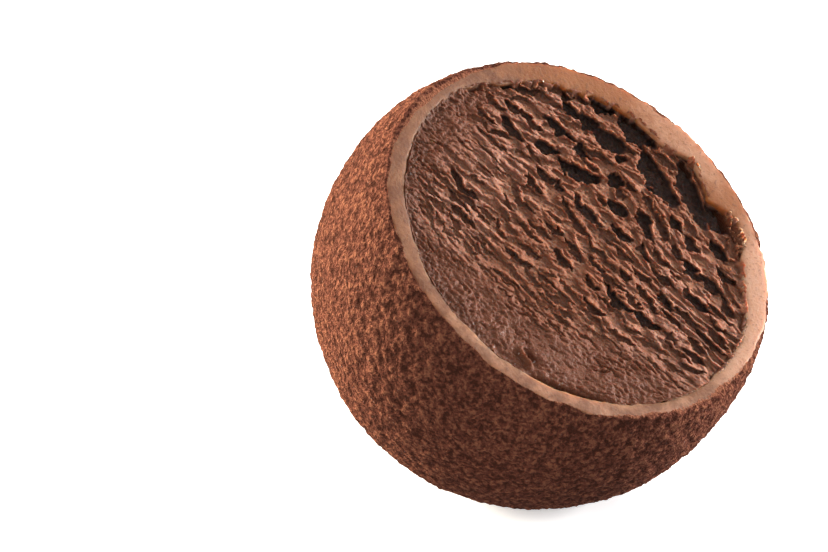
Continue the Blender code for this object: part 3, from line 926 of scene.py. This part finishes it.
def makeIceCream(material):
    settings = iceCream
    bm = bmesh.new()
    bmesh.ops.create_grid(bm, x_segments=settings["cells"], y_segments=settings["cells"], size=1)
    x, y, drop, toDough = roundFace(np.array([vert.co for vert in bm.verts]))
    far = smooth(-0.25, 0.7, y / faceRadius)
    recess = settings["nearRecess"] + (settings["farRecess"] - settings["nearRecess"]) * far
    relief, deepest, lips = tornFace(x, y - settings["undercut"] * recess)
    torn = tornShare(x, y)
    crust = crustShare(x, y)
    edge = edgeShare(x, y, far, crust, toDough)
    crumbs = crumbShare(x, y, crust, edge, toDough, deepest)
    crumbHeight = settings["crumbHeight"] * far + settings["crustHeight"] * crust
    relief = (1 - edge) * relief + crumbHeight * crumbs
    flap, pit = curledFlap(x, y)
    fine = (1 - 0.4 * edge) * fineRelief(x, y) + flap - pit
    slit = slitShare(x, y) * smooth(settings["slitWidth"], 0, toDough)
    z = ball["cutHeight"] - recess - (drop - recess) * edge + relief + fine
    z = z - settings["slitDepth"] * slit
    paler, shade, glints = tones(x, y, torn, slit, toDough)
    # the flap's share is a painted highlight, the crumbs' share a reddish crust tone
    crustTintAndFlapHighlight = (far + crust) * crumbs + crust * edge + flap
    looks = {
        "hollow": np.minimum(1, deepest * (1 - edge) ** 0.4 / 2),
        "lip": np.minimum(1, lips * (1 - edge) + crustTintAndFlapHighlight),
        "torn": torn,
        "shade": shade,
        "glints": glints,
        "paler": paler,
    }

    undercut = settings["undercut"] * (1 - edge) * (relief + fine)
    y = y - undercut * (0.4 + 0.6 * smooth(0, 0.4, torn))
    room = np.sqrt((cavityRadius - 0.1) ** 2 - z**2)
    inside = np.minimum(1, room / np.maximum(np.hypot(x, y), 1))
    kept = inside + (1 - inside) * smooth(0, 0.5, edge)  # the deepest tears stay clear of the dough
    x, y = x * kept, y * kept
    for vert, place in zip(bm.verts, zip(x, y, z)):
        vert.co = place
    for name, values in looks.items():
        layer = bm.verts.layers.float.new(name)
        for vert, value in zip(bm.verts, values):
            vert[layer] = value
    print("torn face", len(bm.faces), "faces")

    lowest = ball["cutHeight"] - settings["farDrop"] * 1.5 - 0.5
    spinBowl(bm, fillingRadius, lowest, settings["bowlSteps"], settings["bowlFacets"])
    bowl = [vert for vert in bm.verts if vert.co.z <= lowest]
    flattenBase(bowl, baseDepth - ball["doughThickness"] - settings["gap"])
    bmesh.ops.bridge_loops(bm, edges=openLoops(bm))
    addPiece("tornIceCream", bm, material, "ice_cream")


# studio

studio = {
    "floorSize": 4.0,
    "floorColour": (0.80, 0.80, 0.80, 1),
    "floorPale": (0.88, 0.88, 0.88, 1),
    "floorPattern": (60.0, 2.0, 0.5),
    "floorBelow": 0.0002,  # in metres, so that it stays clear of the flat spot
    "floorGlow": 0.6,  # keeps the shadow on the floor faint
    "worldColour": (0.98, 1.0, 1.1, 1),
    "worldStrength": 0.52,
    "lights": (  # name, place, size, power and colour
        ("overCut", (0.50, 0.05, 0.60), (0.4, 0.4), 4.2, (1, 1, 1)),
        ("leftBack", (-0.74, 0.44, 0.22), (0.4, 0.4), 41.0, (1.0, 0.91, 0.74)),
        ("rightBack", (0.80, 0.30, 0.12), (0.3, 0.3), 21.0, (1, 1, 1)),
        ("leftFront", (-0.70, -0.62, 0.10), (0.5, 0.4), 4.2, (1.0, 0.88, 0.72)),
        ("front", (0.10, -0.95, 0.32), (0.6, 0.6), 2.4, (1, 1, 1)),
    ),
    "cameraDistance": 0.42,
    "cameraElevation": 12.0,
    "lens": 188.0,
    "sensorWidth": 36,
    "nearestSeen": 0.01,
    "aimLeft": 12.0,  # of the ball's centre, in millimetres
    "aimAbove": 0.66,
}


def makeFloor():
    bm = bmesh.new()
    bmesh.ops.create_grid(bm, x_segments=1, y_segments=1, size=studio["floorSize"] / 2)
    mesh = bpy.data.meshes.new("floor")
    bm.to_mesh(mesh)
    bm.free()
    finish = Finish("paleFloor")
    mottle = finish.noise(*studio["floorPattern"])
    floorColour = finish.mix(mottle, studio["floorColour"], studio["floorPale"])
    surface = {
        "Base Color": floorColour,
        "Roughness": 0.9,
        "Emission Color": floorColour,
        "Emission Strength": studio["floorGlow"],
    }
    mesh.materials.append(finish.done(finish.shader(surface)))
    floor = bpy.data.objects.new("floor", mesh)
    floor.location = (0, 0, -studio["floorBelow"])
    floor.visible_diffuse = False  # so the pale floor throws no light up onto the underside
    bpy.context.scene.collection.objects.link(floor)


def addLight(name, place, size, power, colour):
    lamp = bpy.data.lights.new(name, "AREA")
    lamp.shape = "RECTANGLE"
    lamp.size, lamp.size_y = size
    lamp.energy = power
    lamp.color = colour
    light = bpy.data.objects.new(name, lamp)
    light.location = place
    toBall = Vector((0, 0, ball["radius"] * mm)) - Vector(place)
    light.rotation_euler = toBall.to_track_quat("-Z", "Y").to_euler()
    bpy.context.scene.collection.objects.link(light)


def makeWorld():
    world = bpy.data.worlds.new("studio")
    world.use_nodes = True
    background = world.node_tree.nodes["Background"]
    background.inputs["Color"].default_value = studio["worldColour"]
    background.inputs["Strength"].default_value = studio["worldStrength"]
    bpy.context.scene.world = world


def makeCamera():
    elevation = math.radians(studio["cameraElevation"])
    up = Vector((0, math.sin(elevation), math.cos(elevation)))
    towards = Vector((0, -math.cos(elevation), math.sin(elevation)))
    centre = Vector((0, 0, baseDepth * mm))
    aim = centre - Vector((studio["aimLeft"] * mm, 0, 0)) + studio["aimAbove"] * mm * up
    lens = bpy.data.cameras.new("camera")
    lens.lens = studio["lens"]
    lens.sensor_width = studio["sensorWidth"]
    lens.clip_start = studio["nearestSeen"]
    camera = bpy.data.objects.new("camera", lens)
    camera.location = aim + towards * studio["cameraDistance"]
    camera.rotation_euler = towards.to_track_quat("Z", "Y").to_euler()
    bpy.context.scene.collection.objects.link(camera)
    bpy.context.scene.camera = camera


def makeStudio():
    makeFloor()
    for light in studio["lights"]:
        addLight(*light)
    makeWorld()
    bpy.context.scene.view_settings.view_transform = "Standard"
    makeCamera()
    print("studio ready")


makeDough(makeDoughFinish())
makeIceCream(makeIceCreamFinish())
makeStudio()
